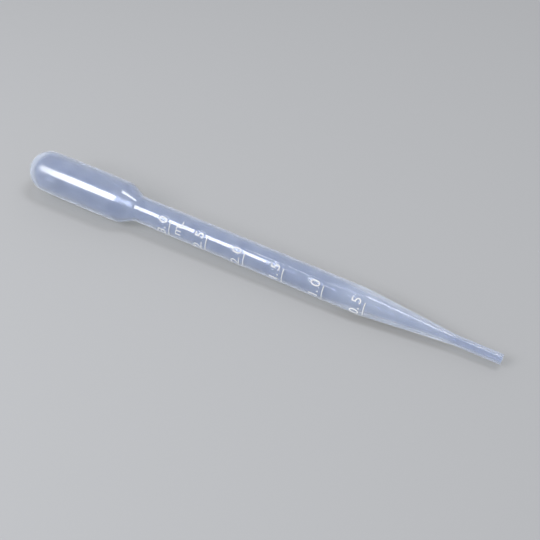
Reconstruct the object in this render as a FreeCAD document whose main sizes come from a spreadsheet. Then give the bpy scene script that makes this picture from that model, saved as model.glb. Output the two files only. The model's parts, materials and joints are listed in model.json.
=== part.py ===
import FreeCAD, Part
import math
import os
import Sketcher

# A 3 mL graduated dropper pipette, blow-moulded in one piece of soft polyethylene: a squeeze bulb
# with a domed end, a straight stem with six raised marks, a long taper and a thin tip tube.
# While it is drawn, the pipette's axis is X, with the pole of the dome at 0 and the tip at
# overall_length. Its placement then lays it on the floor, with the marks toward -Y and up.

document = FreeCAD.newDocument("dropper_pipette")

# ---------------------------------------------------------------- driving sizes, mm and degrees
driving_sizes = {
    "overall_length": 160.0,
    # bulb: its side is a shallow barrel, widest at the belly
    "bulb_length": 36.0,
    "bulb_diameter": 13.6,
    "bulb_belly_place": 20.5,
    "bulb_side_radius": 650.0,
    "bulb_wall": 0.5,
    "dome_wall": 1.2,
    # cone from the bulb down to the stem
    "shoulder_length": 5.2,
    "shoulder_blend": 4.0,
    "neck_blend": 1.5,
    # stem and the taper at its lower end
    "stem_diameter": 8.25,
    "stem_wall": 0.6,
    "taper_length": 28.3,
    "taper_blend": 20.0,
    # thin straight tube at the tip
    "tip_length": 13.2,
    "tip_diameter": 3.1,
    "tip_blend": 3.0,
    # inside, the wall thickens from above the taper down to the fine bore
    "cavity_taper_lead": 10.5,
    "cavity_taper_length": 35.0,
    "cavity_blend": 12.0,
    "bore_diameter": 1.8,
    # raised marks, one for each half millilitre from 3.0 down to 0.5
    "mark_count": 6,
    "first_mark_place": 55.0,
    "mark_pitch": 13.0,
    "mark_width": 0.42,
    "mark_crest": 0.22,
    "mark_height": 0.18,
    "mark_root": 0.25,
    "mark_start_angle": 42.0,
    "mark_sweep": 58.0,
}
sheet = document.addObject("Spreadsheet::Sheet", "Sizes")
for row, (alias, number) in enumerate(driving_sizes.items(), 1):
    sheet.set(f"A{row}", alias)
    sheet.set(f"B{row}", str(number))
    sheet.setAlias(f"B{row}", alias)
document.recompute()


class Length:
    """A length together with the sheet formula that it comes from."""

    def __init__(self, value, formula):
        self.value = value
        self.formula = formula

    def __add__(self, other):
        return Length(self.value + other.value, f"({self.formula} + {other.formula})")

    def __sub__(self, other):
        return Length(self.value - other.value, f"({self.formula} - {other.formula})")

    def __mul__(self, other):
        return Length(self.value * other.value, f"({self.formula} * {other.formula})")

    def __truediv__(self, other):
        return Length(self.value / other.value, f"({self.formula} / {other.formula})")

    def or_zero(self):
        return Length(max(self.value, 0.0), f"max({self.formula}; 0)")


def size(alias):
    """One driving size of the sheet."""
    return Length(float(sheet.get(alias)), "Sizes." + alias)


zero = Length(0.0, "0")
two = Length(2.0, "2")
stem_radius = size("stem_diameter") / two
tip_radius = size("tip_diameter") / two
neck_place = size("bulb_length") + size("shoulder_length")
taper_end = size("overall_length") - size("tip_length")
taper_place = taper_end - size("taper_length")

# ---------------------------------------------------------------- the piece and its sketch helpers
pipette = document.addObject("PartDesign::Body", "pipette")
pipette.Label = "pipette"


def new_sketch(name, role, turn=None):
    """A sketch on one origin plane of the body, turned about the pipette's axis if asked."""
    sketch = pipette.newObject("Sketcher::SketchObject", name)
    plane = next(item for item in pipette.Origin.OriginFeatures if item.Role == role)
    sketch.AttachmentSupport = [(plane, "")]
    sketch.MapMode = "FlatFace"
    if turn:
        sketch.AttachmentOffset = FreeCAD.Placement(
            FreeCAD.Vector(0, 0, 0), FreeCAD.Rotation(FreeCAD.Vector(1, 0, 0), turn.value))
        sketch.setExpression("AttachmentOffset.Rotation.Angle", turn.formula)
    return sketch


def bind(sketch, kind, geometry, point, length):
    """A distance from the sketch's origin, or a radius, that follows the sheet."""
    if kind == "Radius":
        index = sketch.addConstraint(Sketcher.Constraint(kind, geometry, length.value))
    else:
        index = sketch.addConstraint(
            Sketcher.Constraint(kind, -1, 1, geometry, point, length.value))
    sketch.setExpression(f"Constraints[{index}]", length.formula)


def blend_arc(corner, toward_dome, toward_tip, radius):
    """The arc that rounds a corner, its two ends with the dome's first, and which end starts it."""
    back = (toward_dome - corner).normalize()
    ahead = (toward_tip - corner).normalize()
    half_angle = back.getAngle(ahead) / 2
    centre = corner + (back + ahead).normalize() * (radius / math.sin(half_angle))
    ends = [corner + side * (radius / math.tan(half_angle)) for side in (back, ahead)]
    turns = [math.atan2(end.y - centre.y, end.x - centre.x) for end in ends]
    hollow = centre.y > corner.y
    circle = Part.Circle(centre, FreeCAD.Vector(0, 0, 1), radius)
    if hollow:
        return Part.ArcOfCircle(circle, turns[0], turns[1]), ends, (1, 2)
    return Part.ArcOfCircle(circle, turns[1], turns[0]), ends, (2, 1)


def draw_wall_face(sketch, pole, bulb_radius, corners):
    """Half the section of one face of the wall, from the dome's pole to the open tip.

    Each corner is (place, radius, blend). The first is the shoulder, which lies on the barrel
    of the bulb's side and so needs no radius. From the last one the face runs straight to the
    tip at that corner's radius.
    """
    up = FreeCAD.Vector(0, 0, 1)
    barrel = size("bulb_side_radius")
    belly = size("bulb_belly_place")
    length = size("overall_length")
    barrel_centre = FreeCAD.Vector(belly.value, bulb_radius.value - barrel.value, 0)
    # the dome is the sphere through the pole that runs on into the barrel
    reach = belly.value - pole.value
    drop = barrel.value - bulb_radius.value
    dome = (barrel.value ** 2 - drop ** 2 - reach ** 2) / (2 * (barrel.value - reach))
    dome_centre = FreeCAD.Vector(pole.value + dome, 0, 0)
    join_direction = (dome_centre - barrel_centre).normalize()
    join_turn = math.atan2(join_direction.y, join_direction.x)
    shoulder_turn = math.acos((corners[0][0].value - belly.value) / barrel.value)
    outward = FreeCAD.Vector(math.cos(shoulder_turn), math.sin(shoulder_turn), 0)
    shoulder = barrel_centre + barrel.value * outward
    points = [shoulder + up.cross(outward), shoulder]
    points += [FreeCAD.Vector(place.value, radius.value, 0) for place, radius, _ in corners[1:]]
    points += [FreeCAD.Vector(length.value, corners[-1][1].value, 0)]
    arcs = [blend_arc(corner, before, after, blend.value) for before, corner, after, (_, _, blend)
            in zip(points, points[1:], points[2:], corners)]

    dome_arc = sketch.addGeometry(Part.ArcOfCircle(
        Part.Circle(dome_centre, up, dome), join_turn, math.pi))
    side_end = arcs[0][1][0] - barrel_centre
    side_arc = sketch.addGeometry(Part.ArcOfCircle(
        Part.Circle(barrel_centre, up, barrel.value),
        math.atan2(side_end.y, side_end.x), join_turn))
    sketch.addConstraint(Sketcher.Constraint("PointOnObject", dome_arc, 3, -1))
    sketch.addConstraint(Sketcher.Constraint("Tangent", dome_arc, 1, side_arc, 2))
    bind(sketch, "Radius", side_arc, 0, barrel)
    bind(sketch, "DistanceX", side_arc, 3, belly)
    bind(sketch, "DistanceY", side_arc, 3, bulb_radius - barrel)

    before, before_end = side_arc, 1
    line_ends = [ends[0] for _, ends, _ in arcs[1:]] + [points[-1]]
    for (place, radius, blend), point, (arc, ends, (near, far)), line_end in zip(
            corners, points[1:], arcs, line_ends):
        rounding = sketch.addGeometry(arc)
        line = sketch.addGeometry(Part.LineSegment(ends[1], line_end))
        corner = sketch.addGeometry(Part.Point(point), True)
        sketch.addConstraint(Sketcher.Constraint("Tangent", before, before_end, rounding, near))
        sketch.addConstraint(Sketcher.Constraint("Tangent", rounding, far, line, 1))
        sketch.addConstraint(Sketcher.Constraint("PointOnObject", corner, 1, before))
        sketch.addConstraint(Sketcher.Constraint("PointOnObject", corner, 1, line))
        bind(sketch, "Radius", rounding, 0, blend)
        bind(sketch, "DistanceX", corner, 1, place)
        if radius:
            bind(sketch, "DistanceY", corner, 1, radius)
        before, before_end = line, 2

    foot = FreeCAD.Vector(length.value, 0, 0)
    end_line = sketch.addGeometry(Part.LineSegment(points[-1], foot))
    axis_line = sketch.addGeometry(Part.LineSegment(foot, FreeCAD.Vector(pole.value, 0, 0)))
    sketch.addConstraint(Sketcher.Constraint("Coincident", before, 2, end_line, 1))
    sketch.addConstraint(Sketcher.Constraint("Coincident", end_line, 2, axis_line, 1))
    sketch.addConstraint(Sketcher.Constraint("Coincident", axis_line, 2, dome_arc, 2))
    sketch.addConstraint(Sketcher.Constraint("Vertical", end_line))
    sketch.addConstraint(Sketcher.Constraint("PointOnObject", axis_line, 1, -1))
    sketch.addConstraint(Sketcher.Constraint("PointOnObject", axis_line, 2, -1))
    sketch.addConstraint(Sketcher.Constraint("Horizontal", before))
    bind(sketch, "DistanceX", end_line, 1, length)
    bind(sketch, "DistanceX", axis_line, 2, pole)


def spin(kind, name, sketch, sweep=None):
    """A full turn of the sketch about the pipette's axis, or the sweep that is given."""
    feature = pipette.newObject(kind, name)
    feature.Profile = sketch
    feature.ReferenceAxis = (sketch, ["H_Axis"])
    if sweep:
        feature.Angle = sweep.value
        feature.setExpression("Angle", sweep.formula)
    else:
        feature.Angle = 360.0
    document.recompute()
    return feature


# ---------------------------------------------------------------- outside of the moulding
outside = new_sketch("OutsideSketch", "XZ_Plane")
draw_wall_face(outside, zero, size("bulb_diameter") / two, [
    (size("bulb_length"), None, size("shoulder_blend")),
    (neck_place, stem_radius, size("neck_blend")),
    (taper_place, stem_radius, size("taper_blend")),
    (taper_end, tip_radius, size("tip_blend")),
])
spin("PartDesign::Revolution", "Outside", outside)
outside_volume = pipette.Shape.Volume

# ---------------------------------------------------------------- cavity, open at the tip only
cavity_stem = stem_radius - size("stem_wall")
bore_radius = size("bore_diameter") / two
cavity_taper_place = taper_place - size("cavity_taper_lead")
inside = new_sketch("InsideSketch", "XZ_Plane")
draw_wall_face(inside, size("dome_wall"), size("bulb_diameter") / two - size("bulb_wall"), [
    (size("bulb_length"), None, size("shoulder_blend") - size("bulb_wall")),
    (neck_place, cavity_stem, size("neck_blend") + size("stem_wall")),
    (cavity_taper_place, cavity_stem, size("cavity_blend")),
    (cavity_taper_place + size("cavity_taper_length"), bore_radius, size("cavity_blend")),
])
spin("PartDesign::Groove", "Cavity", inside)
wall_volume = pipette.Shape.Volume
if not 0 < wall_volume < outside_volume:
    raise RuntimeError("the cavity did not cut the moulding")

# ---------------------------------------------------------------- raised marks round the front
taper_slope = (stem_radius - tip_radius) / size("taper_length")


def raise_mark(name, place, surface):
    """One raised line that runs part of the way round, with sloping sides and a flat crest."""
    half_foot = size("mark_width") / two
    half_crest = size("mark_crest") / two
    root = surface - size("mark_root")
    crest = surface + size("mark_height")
    corners = [
        (place - half_foot, root),
        (place - half_foot, surface),
        (place - half_crest, crest),
        (place + half_crest, crest),
        (place + half_foot, surface),
        (place + half_foot, root),
    ]
    points = [FreeCAD.Vector(along.value, out.value, 0) for along, out in corners]
    sketch = new_sketch(name + "Sketch", "XZ_Plane", size("mark_start_angle"))
    lines = [sketch.addGeometry(Part.LineSegment(start, end))
             for start, end in zip(points, points[1:] + points[:1])]
    for line, following in zip(lines, lines[1:] + lines[:1]):
        sketch.addConstraint(Sketcher.Constraint("Coincident", line, 2, following, 1))
    for line, (along, out) in zip(lines, corners):
        bind(sketch, "DistanceX", line, 1, along)
        bind(sketch, "DistanceY", line, 1, out)
    spin("PartDesign::Revolution", name, sketch, size("mark_sweep"))


# the lowest mark stands just below the top of the taper, where the surface has begun to fall
for index in range(int(size("mark_count").value)):
    mark_place = size("first_mark_place") + size("mark_pitch") * Length(index, str(index))
    fall = (mark_place - taper_place).or_zero() * taper_slope
    raise_mark(f"Mark{index + 1}", mark_place, stem_radius - fall)
if pipette.Shape.Volume <= wall_volume:
    raise RuntimeError("the marks added nothing to the stem")

# ---------------------------------------------------------------- how it lies
# it lies on two rings, one at the end of the bulb's barrel and one at the top of the taper: the
# longest straight stretch of the outline's hull joins them
outline = [point for edge in outside.Shape.Edges for point in edge.discretize(Deflection=0.0005)]
hull = []
for point in sorted(outline, key=lambda item: (item.x, -item.z)):
    while len(hull) > 1 and (hull[-1] - hull[-2]).cross(point - hull[-1]).y <= 0:
        hull.pop()
    hull.append(point)
bulb_ring, taper_ring = max(zip(hull, hull[1:]), key=lambda pair: pair[0].distanceToPoint(pair[1]))
tilt = math.atan2(bulb_ring.z - taper_ring.z, taper_ring.x - bulb_ring.x)
lean = FreeCAD.Rotation(FreeCAD.Vector(0, 1, 0), math.degrees(tilt))
pipette.Placement = FreeCAD.Placement(FreeCAD.Vector(0, 0, 0), lean)
box = pipette.Shape.optimalBoundingBox(False)
pipette.Placement = FreeCAD.Placement(
    FreeCAD.Vector(-box.Center.x, 0, bulb_ring.x * math.sin(tilt) + bulb_ring.z * math.cos(tilt)),
    lean)
document.recompute()

# ---------------------------------------------------------------- checks and output
for item in document.Objects:
    if {"Invalid", "Error"} & set(item.State):
        raise RuntimeError(f"{item.Name} failed")
if pipette.Shape.isNull() or not pipette.Shape.isValid() or len(pipette.Shape.Solids) != 1:
    raise RuntimeError("the pipette is not one sound solid")
os.makedirs("parts", exist_ok=True)
pipette.Shape.exportStep(f"parts/{pipette.Label}.step")
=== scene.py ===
import json
import math

import bmesh
import bpy
from mathutils import Matrix, Vector


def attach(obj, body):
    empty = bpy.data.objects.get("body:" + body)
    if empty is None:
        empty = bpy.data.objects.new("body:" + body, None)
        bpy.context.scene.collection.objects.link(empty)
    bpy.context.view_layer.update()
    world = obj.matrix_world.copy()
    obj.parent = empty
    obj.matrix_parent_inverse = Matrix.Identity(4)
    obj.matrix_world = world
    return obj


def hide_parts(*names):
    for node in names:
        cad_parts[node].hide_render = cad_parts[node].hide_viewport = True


# A 3 mL dropper pipette of soft natural polyethylene, lying on a pale table.
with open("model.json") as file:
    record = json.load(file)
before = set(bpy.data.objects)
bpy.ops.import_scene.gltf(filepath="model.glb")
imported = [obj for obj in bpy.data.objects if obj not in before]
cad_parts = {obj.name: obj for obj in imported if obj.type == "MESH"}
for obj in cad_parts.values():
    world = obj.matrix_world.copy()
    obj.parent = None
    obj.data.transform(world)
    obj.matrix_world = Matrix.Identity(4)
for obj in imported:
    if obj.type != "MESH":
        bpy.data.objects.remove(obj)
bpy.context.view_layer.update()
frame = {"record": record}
scene = bpy.context.scene
scene.view_settings.view_transform = "Standard"

# ---------------------------------------------------------------- where the pipette lies
# The pipette lies on the table with its bulb to the left. The record's stem mount gives its axis,
# and everything on it is drawn in millimetres along X from the bulb's pole, then laid there.
mm = 0.001
stem_mount = next(mount for mount in frame["record"]["mounts"] if mount["name"] == "stem")
stem_mount_place = 79.56
axis = Vector(stem_mount["axis"]).normalized()
pole = Vector(stem_mount["pos_m"]) - axis * stem_mount_place * mm
lying = (Matrix.Translation(pole) @ Vector((1, 0, 0)).rotation_difference(axis).to_matrix().to_4x4()
         @ Matrix.Scale(mm, 4))

# ---------------------------------------------------------------- camera
# It stands to the right of the middle and looks down at the pipette by about half a right angle.
camera_data = bpy.data.cameras.new("camera")
camera_data.lens = 60
camera_data.sensor_width = 36
camera = bpy.data.objects.new("camera", camera_data)
scene.collection.objects.link(camera)
scene.camera = camera
camera_elevation = math.radians(45.94)
camera_turn = math.radians(28.8)
camera_distance = 266.8 * mm
camera_aim_place = 88.82
camera_drift = Vector((-0.749, -1.788, 0)) * mm
camera_turned = Matrix.Rotation(camera_turn, 4, "Z") @ Matrix.Rotation(
    math.pi / 2 - camera_elevation, 4, "X")
camera.matrix_world = (Matrix.Translation(lying @ Vector((camera_aim_place, 0, 0))) @ camera_turned
                       @ Matrix.Translation(camera_drift + Vector((0, 0, camera_distance))))

# ---------------------------------------------------------------- moulded pipette
# One blow moulding of soft polyethylene: a squeeze bulb with a thick domed end, a straight stem,
# a long taper and a thin tip tube cut square. The wall is thin in the bulb and stem and thick at
# both ends, where the mould pinched and drew the plastic.
overall_length = 160.0
bulb_length = 36.0
bulb_radius = 6.8
bulb_belly_place = 20.5
bulb_side_radius = 650.0
bulb_wall = 0.5
dome_wall = 1.2
shoulder_length = 5.2
shoulder_blend = 4.0
neck_blend = 1.5
stem_radius = 4.125
stem_wall = 0.6
taper_length = 28.3
taper_blend = 20.0
tip_length = 13.2
tip_radius = 1.55
tip_blend = 3.0
tip_edge_radius = 0.07
cavity_taper_lead = 10.5
cavity_taper_length = 35.0
cavity_blend = 12.0
bore_radius = 0.9
turn_steps = 160
dome_steps = 32
side_steps = 14
blend_steps = 8
tip_edge_steps = 3
longest_run = 2.0
run_length = 1.0
merge_distance = 1e-4
speck_length = 1e-5

neck_place = bulb_length + shoulder_length
taper_end = overall_length - tip_length
taper_place = taper_end - taper_length
cavity_stem_radius = stem_radius - stem_wall
cavity_taper_place = taper_place - cavity_taper_lead


def swing(section, start, centre, angle, steps):
    """Carries the end of a section's line round a centre, towards the tip; gives its new end."""
    swung = bmesh.ops.spin(
        section, geom=[start], cent=centre, axis=(0, 1, 0), angle=angle, steps=steps)
    return next(item for item in swung["geom_last"] if isinstance(item, bmesh.types.BMVert))


def run_to(section, start, place, radius):
    """Carries the end of a section's line straight to a place and radius; gives its new end."""
    end = bmesh.ops.extrude_vert_indiv(section, verts=[start])["verts"][0]
    end.co = (place, 0, radius)
    return end


def round_corner(section, corner, radius, steps):
    """Rounds one corner of a section's line."""
    ways = [edge.other_vert(corner).co - corner.co for edge in corner.link_edges]
    half_angle = ways[0].angle(ways[1]) / 2
    bmesh.ops.bevel(section, geom=[corner], affect="VERTICES", offset_type="OFFSET",
                    offset=radius / math.tan(half_angle), segments=steps, profile=0.5, material=-1)


def draw_wall_face(section, pole_place, belly_radius, corners):
    """Half the section of one face of the wall, from the dome's pole to the open tip.

    The first corner is the shoulder, which lies on the side of the bulb and has no radius.
    """
    drop = bulb_side_radius - belly_radius
    reach = bulb_belly_place - pole_place
    dome_radius = ((bulb_side_radius ** 2 - drop ** 2 - reach ** 2)
                   / (2 * (bulb_side_radius - reach)))
    dome_centre = Vector((pole_place + dome_radius, 0, 0))
    side_centre = Vector((bulb_belly_place, 0, -drop))
    join = dome_centre - side_centre
    join_turn = math.atan2(join.z, join.x)
    shoulder_turn = math.acos((corners[0][0] - bulb_belly_place) / bulb_side_radius)
    start = section.verts.new((pole_place, 0, 0))
    end = swing(section, start, dome_centre, math.pi - join_turn, dome_steps)
    end = swing(section, end, side_centre, join_turn - shoulder_turn, side_steps)
    turning = [(end, corners[0][2])]
    for place, radius, blend in corners[1:]:
        end = run_to(section, end, place, radius)
        turning.append((end, blend))
    end = run_to(section, end, overall_length, corners[-1][1])
    for corner, blend in turning:
        round_corner(section, corner, blend, blend_steps)
    return end


section = bmesh.new()
outer_end = draw_wall_face(section, 0, bulb_radius, [
    (bulb_length, None, shoulder_blend),
    (neck_place, stem_radius, neck_blend),
    (taper_place, stem_radius, taper_blend),
    (taper_end, tip_radius, tip_blend),
])
inner_end = draw_wall_face(section, dome_wall, bulb_radius - bulb_wall, [
    (bulb_length, None, shoulder_blend - bulb_wall),
    (neck_place, cavity_stem_radius, neck_blend + stem_wall),
    (cavity_taper_place, cavity_stem_radius, cavity_blend),
    (cavity_taper_place + cavity_taper_length, bore_radius, cavity_blend),
])
section.edges.new((outer_end, inner_end))
for corner in (outer_end, inner_end):
    round_corner(section, corner, tip_edge_radius, tip_edge_steps)
long_runs = [edge for edge in section.edges if edge.calc_length() > longest_run]
for edge in long_runs:
    bmesh.ops.subdivide_edges(section, edges=[edge], cuts=int(edge.calc_length() / run_length))
bmesh.ops.spin(section, geom=section.verts[:] + section.edges[:], cent=(0, 0, 0), axis=(1, 0, 0),
               angle=2 * math.pi, steps=turn_steps, use_merge=True)
bmesh.ops.remove_doubles(section, verts=section.verts, dist=merge_distance)
bmesh.ops.dissolve_degenerate(section, dist=speck_length, edges=section.edges)
bmesh.ops.recalc_face_normals(section, faces=section.faces)
wall_mesh = bpy.data.meshes.new("pipette_moulding")
section.to_mesh(wall_mesh)
section.free()

# Raised marks and numbers, cut into the mould and so one with the stem: six lines, one for each
# half millilitre, and beside each its volume, which reads with the tip down.
mark_width = 0.42
mark_crest = 0.22
mark_height = 0.18
mark_root = 0.25
mark_start = math.radians(42)
mark_sweep = math.radians(58)
mark_steps = 40
first_mark_place = 55.0
mark_pitch = 13.0
volumes = ("3.0", "2.5", "2.0", "1.5", "1.0", "0.5")
character_height = 2.9
character_gap = 1.25
character_rise = 0.15
character_root = 0.2
character_edge = 0.08
character_edge_steps = 2
character_slice = 0.15
font_height = 0.69
scale_lead = 2 * character_height
scale_start = first_mark_place - scale_lead
scale_end = first_mark_place + mark_pitch * len(volumes) - scale_lead
ground_edge = 0.1
ground_start = math.radians(27)
ground_end = math.radians(61)
character_turns = [math.radians(turn) for turn in (95.5, 75.0, 44.0)]
unit_turns = [math.radians(turn) for turn in (65.0, 33.5)]
raised = bmesh.new()


def surface_at(place):
    """Radius of the stem, or of the top of the taper, at a place."""
    fall = max(place - taper_place, 0) * (stem_radius - tip_radius) / taper_length
    return stem_radius - fall


def raise_line(place):
    """One raised line round the front of the stem, with sloping sides and a flat crest."""
    surface = surface_at(place)
    corners = [(place + side * half, 0, radius) for side, half, radius in (
        (-1, mark_width / 2, surface - mark_root),
        (-1, mark_width / 2, surface),
        (-1, mark_crest / 2, surface + mark_height),
        (1, mark_crest / 2, surface + mark_height),
        (1, mark_width / 2, surface),
        (1, mark_width / 2, surface - mark_root))]
    line = bmesh.new()
    profile = line.faces.new([line.verts.new(corner) for corner in corners])
    bmesh.ops.rotate(line, verts=line.verts, cent=(0, 0, 0),
                     matrix=Matrix.Rotation(mark_start, 3, "X"))
    bmesh.ops.spin(line, geom=[profile], cent=(0, 0, 0), axis=(1, 0, 0),
                   angle=mark_sweep, steps=mark_steps)
    bmesh.ops.recalc_face_normals(line, faces=line.faces)
    add_to_raised(line)


def add_to_raised(form):
    """Keeps one raised form with the others."""
    mesh = bpy.data.meshes.new("raised_form")
    form.to_mesh(mesh)
    form.free()
    raised.from_mesh(mesh)
    bpy.data.meshes.remove(mesh)


def raise_character(character, turn, foot):
    """One raised character with softened edges, bent round the stem, its foot at a place."""
    outline = bpy.data.curves.new("raised_character", "FONT")
    outline.body = character
    outline.align_x = "CENTER"
    outline.size = character_height / font_height
    outline.extrude = (character_rise + character_root) / 2 - character_edge
    outline.bevel_depth = character_edge
    outline.bevel_resolution = character_edge_steps
    outline.offset = -character_edge
    writer = bpy.data.objects.new("raised_character", outline)
    letter = bmesh.new()
    flat = bpy.data.meshes.new_from_object(writer)
    letter.from_mesh(flat)
    bpy.data.objects.remove(writer)
    bpy.data.meshes.remove(flat)
    bmesh.ops.remove_doubles(letter, verts=letter.verts, dist=merge_distance)
    reach = max(abs(vertex.co.x) for vertex in letter.verts)
    slices = math.ceil(2 * reach / character_slice)
    for index in range(1, slices):
        bmesh.ops.bisect_plane(
            letter, geom=letter.verts[:] + letter.edges[:] + letter.faces[:],
            plane_co=(-reach + 2 * reach * index / slices, 0, 0), plane_no=(1, 0, 0),
            dist=speck_length)
    middle = (character_rise - character_root) / 2
    for vertex in letter.verts:
        across, up, out = vertex.co
        place = foot - up
        radius = surface_at(place) + middle + out
        angle = turn - across / stem_radius
        vertex.co = (place, -radius * math.sin(angle), radius * math.cos(angle))
    if letter.calc_volume(signed=True) < 0:
        bmesh.ops.reverse_faces(letter, faces=letter.faces)
    add_to_raised(letter)


for index, volume in enumerate(volumes):
    line_place = first_mark_place + mark_pitch * index
    raise_line(line_place)
    for character, turn in zip(volume, character_turns):
        raise_character(character, turn, line_place - character_gap)
for character, turn in zip("mL", unit_turns):
    raise_character(character, turn, first_mark_place + character_gap + character_height)
raised_mesh = bpy.data.meshes.new("raised_forms")
raised.to_mesh(raised_mesh)
raised.free()

blank = bpy.data.objects.new("blank_moulding", wall_mesh)
raised_forms = bpy.data.objects.new("raised_forms", raised_mesh)
scene.collection.objects.link(blank)
scene.collection.objects.link(raised_forms)
joining = blank.modifiers.new("joining", "BOOLEAN")
joining.operation = "UNION"
joining.solver = "EXACT"
joining.object = raised_forms
bpy.context.view_layer.update()
moulding_mesh = bpy.data.meshes.new_from_object(
    blank.evaluated_get(bpy.context.evaluated_depsgraph_get()))
bpy.data.objects.remove(blank)
bpy.data.objects.remove(raised_forms)
# What stands out of the stem is matt and painted near white, a painted glint, and the skin round
# the last figure of each number is uneven. Both are kept on the mesh, for the plastic's finish and
# that painted glint.
shape = bmesh.new()
shape.from_mesh(moulding_mesh)
standing = shape.verts.layers.float.new("standing_out")
uneven = shape.verts.layers.float.new("uneven_ground")
for vertex in shape.verts:
    place, across, up = vertex.co
    if scale_start < place < scale_end:
        proud = (math.hypot(across, up) - surface_at(place)) / character_rise
        vertex[standing] = min(max(proud, 0), 1)
        turn = math.atan2(-across, up)
        below_line = (place - scale_start) % mark_pitch - scale_lead + character_gap
        in_row = -character_height - ground_edge < below_line < ground_edge
        on_skin = proud > -1
        vertex[uneven] = in_row and ground_start < turn < ground_end and on_skin
shape.to_mesh(moulding_mesh)
shape.free()
moulding_mesh.transform(lying)
moulding_mesh.shade_smooth()
sharpest_smooth_edge = math.radians(35)
moulding_mesh.set_sharp_from_angle(angle=sharpest_smooth_edge)
moulding = bpy.data.objects.new("pipette_moulding", moulding_mesh)
scene.collection.objects.link(moulding)

# The plastic is tinted a little blue and scatters light inside, blue first, so thick walls look
# milky. Its skin has faint draw lines along it and a little orange peel. It shines less on the
# bulb than on the stem, ripples round the numbers, and is matt on all that is raised, where it is
# also painted near white as a painted glint.
polyethylene = bpy.data.materials.new("natural_polyethylene")
polyethylene.use_nodes = True
plastic_tree = polyethylene.node_tree
nodes, links = plastic_tree.nodes, plastic_tree.links
plastic = nodes["Principled BSDF"]
plastic.inputs["IOR"].default_value = 1.51
plastic.inputs["Transmission Weight"].default_value = 1.0
plastic.inputs["Sheen Weight"].default_value = 0.6
plastic.inputs["Sheen Tint"].default_value = (0.92, 0.96, 1.0, 1)
plastic.inputs["Sheen Roughness"].default_value = 0.4
position = nodes.new("ShaderNodeTexCoord")
along = nodes.new("ShaderNodeMapping")
along.vector_type = "TEXTURE"
along.inputs["Location"].default_value = pole
along.inputs["Rotation"].default_value = lying.to_euler()
links.new(position.outputs["Object"], along.inputs["Vector"])
stretch = nodes.new("ShaderNodeMapping")
stretch.inputs["Scale"].default_value = (40, 1400, 1400)
links.new(along.outputs["Vector"], stretch.inputs["Vector"])


def add_noise(tree, place, scale, detail):
    """Gives an uneven height or tone, whose grain follows a place."""
    noise = tree.nodes.new("ShaderNodeTexNoise")
    noise.inputs["Scale"].default_value = scale
    noise.inputs["Detail"].default_value = detail
    tree.links.new(place.outputs["Vector"], noise.inputs["Vector"])
    return noise.outputs["Fac"]


def work_out(tree, operation, first, second):
    """Gives the sum, product or larger of a value and a second one, which may be a number."""
    result = tree.nodes.new("ShaderNodeMath")
    result.operation = operation
    tree.links.new(first, result.inputs[0])
    if isinstance(second, float):
        result.inputs[1].default_value = second
    else:
        tree.links.new(second, result.inputs[1])
    return result.outputs["Value"]


draw_lines = add_noise(plastic_tree, stretch, scale=1.0, detail=3.0)
orange_peel = add_noise(plastic_tree, along, scale=900.0, detail=2.0)
ripples = add_noise(plastic_tree, along, scale=1100.0, detail=1.0)
clouds = add_noise(plastic_tree, along, scale=220.0, detail=3.0)
skin_height = nodes.new("ShaderNodeMix")
skin_height.inputs["Factor"].default_value = 0.35
links.new(draw_lines, skin_height.inputs["A"])
links.new(orange_peel, skin_height.inputs["B"])
skin = nodes.new("ShaderNodeBump")
skin.inputs["Strength"].default_value = 0.15
skin.inputs["Distance"].default_value = 0.02 * mm
links.new(skin_height.outputs["Result"], skin.inputs["Height"])
uneven_ground = nodes.new("ShaderNodeAttribute")
uneven_ground.attribute_name = "uneven_ground"
ripple_height = work_out(plastic_tree, "MULTIPLY", ripples, uneven_ground.outputs["Fac"])
ripple = nodes.new("ShaderNodeBump")
ripple.inputs["Distance"].default_value = 0.3 * mm
links.new(ripple_height, ripple.inputs["Height"])
links.new(skin.outputs["Normal"], ripple.inputs["Normal"])
links.new(ripple.outputs["Normal"], plastic.inputs["Normal"])
cloud_tint = nodes.new("ShaderNodeValToRGB")
cloud_tint.color_ramp.elements[0].position = 0.3
cloud_tint.color_ramp.elements[0].color = (0.63, 0.69, 0.86, 1)
cloud_tint.color_ramp.elements[1].position = 0.7
cloud_tint.color_ramp.elements[1].color = (0.73, 0.78, 0.92, 1)
links.new(clouds, cloud_tint.inputs["Fac"])
links.new(cloud_tint.outputs["Color"], plastic.inputs["Base Color"])
gloss = nodes.new("ShaderNodeMapRange")
gloss.inputs["To Min"].default_value = 0.03
gloss.inputs["To Max"].default_value = 0.08
links.new(clouds, gloss.inputs["Value"])
place_along = nodes.new("ShaderNodeSeparateXYZ")
links.new(along.outputs["Vector"], place_along.inputs["Vector"])
bulb_dulling = nodes.new("ShaderNodeMapRange")
bulb_dulling.inputs["From Min"].default_value = bulb_length * mm
bulb_dulling.inputs["From Max"].default_value = neck_place * mm
bulb_dulling.inputs["To Min"].default_value = 0.10
bulb_dulling.inputs["To Max"].default_value = 0.0
links.new(place_along.outputs["X"], bulb_dulling.inputs["Value"])
roughness = work_out(plastic_tree, "ADD", gloss.outputs["Result"],
                     bulb_dulling.outputs["Result"])
links.new(roughness, plastic.inputs["Roughness"])

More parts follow.
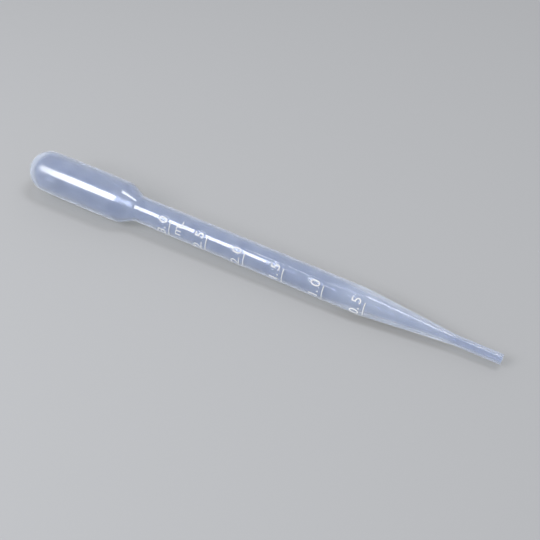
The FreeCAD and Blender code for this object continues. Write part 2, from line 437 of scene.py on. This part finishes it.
# All that is raised gets a matt, near-white paint: a painted glint in place of the light its edges
# catch.
matt_and_glint_paint = nodes.new("ShaderNodeBsdfPrincipled")
matt_and_glint_paint.inputs["Base Color"].default_value = (0.97, 0.98, 1.0, 1)
matt_and_glint_paint.inputs["Roughness"].default_value = 0.5
matt_and_glint_paint.inputs["IOR"].default_value = 1.51
matt_and_glint_paint.inputs["Transmission Weight"].default_value = 0.2
links.new(skin.outputs["Normal"], matt_and_glint_paint.inputs["Normal"])
stands_out = nodes.new("ShaderNodeAttribute")
stands_out.attribute_name = "standing_out"
matt_and_glint_share = work_out(plastic_tree, "MULTIPLY", stands_out.outputs["Fac"], 0.95)
surface = nodes.new("ShaderNodeMixShader")
links.new(matt_and_glint_share, surface.inputs["Fac"])
links.new(plastic.outputs["BSDF"], surface.inputs[1])
links.new(matt_and_glint_paint.outputs["BSDF"], surface.inputs[2])

light_path = nodes.new("ShaderNodeLightPath")
light_through = nodes.new("ShaderNodeBsdfTransparent")
light_through.inputs["Color"].default_value = (0.96, 0.98, 1.0, 1)
seen_or_lit = nodes.new("ShaderNodeMixShader")
links.new(light_path.outputs["Is Shadow Ray"], seen_or_lit.inputs["Fac"])
links.new(surface.outputs["Shader"], seen_or_lit.inputs[1])
links.new(light_through.outputs["BSDF"], seen_or_lit.inputs[2])
output = nodes["Material Output"]
links.new(seen_or_lit.outputs["Shader"], output.inputs["Surface"])
haze = nodes.new("ShaderNodeVolumeScatter")
haze.inputs["Color"].default_value = (0.78, 0.86, 1.0, 1)
haze.inputs["Density"].default_value = 300
haze.inputs["Anisotropy"].default_value = -0.4
links.new(haze.outputs["Volume"], output.inputs["Volume"])
scene.cycles.volume_bounces = 4
scene.cycles.caustics_refractive = False
scene.cycles.caustics_reflective = False
moulding_mesh.materials.clear()
moulding_mesh.materials.append(polyethylene)
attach(moulding, "root")
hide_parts("pipette")

# ---------------------------------------------------------------- table
# A plain pale grey table top, painted matt. It isn't part of the pipette. Far from the pipette,
# what the eye sees of it fades into the pale room behind.
table_reach = 6
fade_start = 0.2
fade_end = 0.8
room_colour = (0.50, 0.51, 0.53, 1)
table_sheet = bmesh.new()
bmesh.ops.create_grid(table_sheet, x_segments=1, y_segments=1, size=table_reach)
table_mesh = bpy.data.meshes.new("table_top")
table_sheet.to_mesh(table_mesh)
table_sheet.free()
table = bpy.data.objects.new("table_top", table_mesh)
scene.collection.objects.link(table)


def eye_mask(tree):
    """One for what is seen, also as a reflection or through the plastic, and nought for light."""
    light_path = tree.nodes.new("ShaderNodeLightPath")
    seen = light_path.outputs["Is Camera Ray"]
    for way in ("Is Glossy Ray", "Is Transmission Ray"):
        seen = work_out(tree, "MAXIMUM", seen, light_path.outputs[way])
    return seen


table_paint = bpy.data.materials.new("table_paint")
table_paint.use_nodes = True
nodes, links = table_paint.node_tree.nodes, table_paint.node_tree.links
paint = nodes["Principled BSDF"]
paint.inputs["Roughness"].default_value = 0.9
paint.inputs["Base Color"].default_value = (0.47, 0.48, 0.50, 1)
position = nodes.new("ShaderNodeTexCoord")
distance = nodes.new("ShaderNodeVectorMath")
distance.operation = "LENGTH"
links.new(position.outputs["Object"], distance.inputs[0])
fade = nodes.new("ShaderNodeMapRange")
fade.interpolation_type = "SMOOTHSTEP"
fade.inputs["From Min"].default_value = fade_start
fade.inputs["From Max"].default_value = fade_end
links.new(distance.outputs["Value"], fade.inputs["Value"])
faded = work_out(table_paint.node_tree, "MULTIPLY", fade.outputs["Result"],
                 eye_mask(table_paint.node_tree))
pale_room = nodes.new("ShaderNodeEmission")
pale_room.inputs["Color"].default_value = room_colour
top_or_room = nodes.new("ShaderNodeMixShader")
links.new(faded, top_or_room.inputs["Fac"])
links.new(paint.outputs["BSDF"], top_or_room.inputs[1])
links.new(pale_room.outputs["Emission"], top_or_room.inputs[2])
links.new(top_or_room.outputs["Shader"], nodes["Material Output"].inputs["Surface"])
table_mesh.materials.append(table_paint)

# ---------------------------------------------------------------- studio light
# A wide soft box stands to the left in front and a long one hangs overhead, a little behind. Two
# narrow strips draw fine bright lines along the stem, and the room around gives an even light.
lit_height = 5 * mm


def add_soft_box(name, turn, lean, distance, width, length, brightness):
    """A soft box seen from the stem at a turn about the pipette's axis and a lean towards the tip.

    Its width goes round the pipette, its length along it, and its face has that brightness.
    """
    lamp = bpy.data.lights.new(name, "AREA")
    lamp.shape = "RECTANGLE"
    lamp.size = width
    lamp.size_y = length
    lamp.energy = brightness * math.pi * width * length
    box = bpy.data.objects.new(name, lamp)
    scene.collection.objects.link(box)
    away = Vector((math.sin(lean), -math.cos(lean) * math.sin(turn),
                   math.cos(lean) * math.cos(turn)))
    across = Vector((0, math.cos(turn), math.sin(turn)))
    facing = Matrix((across, away.cross(across), away)).transposed().to_4x4()
    box.matrix_world = Matrix.Translation(Vector((0, 0, lit_height)) + away * distance) @ facing


add_soft_box("front_soft_box", turn=math.radians(41.3), lean=math.radians(-28), distance=0.75,
             width=0.34, length=0.30, brightness=11)
add_soft_box("top_soft_box", turn=math.radians(-12), lean=math.radians(14), distance=0.8,
             width=0.20, length=0.36, brightness=9)
add_soft_box("upper_strip", turn=math.radians(9), lean=math.radians(-12), distance=0.8,
             width=0.03, length=0.17, brightness=16)
add_soft_box("front_strip", turn=math.radians(41.3), lean=math.radians(-12), distance=0.8,
             width=0.02, length=0.17, brightness=16)
room = bpy.data.worlds.new("room")
scene.world = room
room.use_nodes = True
nodes, links = room.node_tree.nodes, room.node_tree.links
room_light = nodes["Background"]
room_light.inputs["Color"].default_value = (1.0, 1.0, 1.0, 1)
room_light.inputs["Strength"].default_value = 0.3
room_seen = nodes.new("ShaderNodeBackground")
room_seen.inputs["Color"].default_value = room_colour
lit_or_seen = nodes.new("ShaderNodeMixShader")
links.new(eye_mask(room.node_tree), lit_or_seen.inputs["Fac"])
links.new(room_light.outputs["Background"], lit_or_seen.inputs[1])
links.new(room_seen.outputs["Background"], lit_or_seen.inputs[2])
links.new(lit_or_seen.outputs["Shader"], nodes["World Output"].inputs["Surface"])
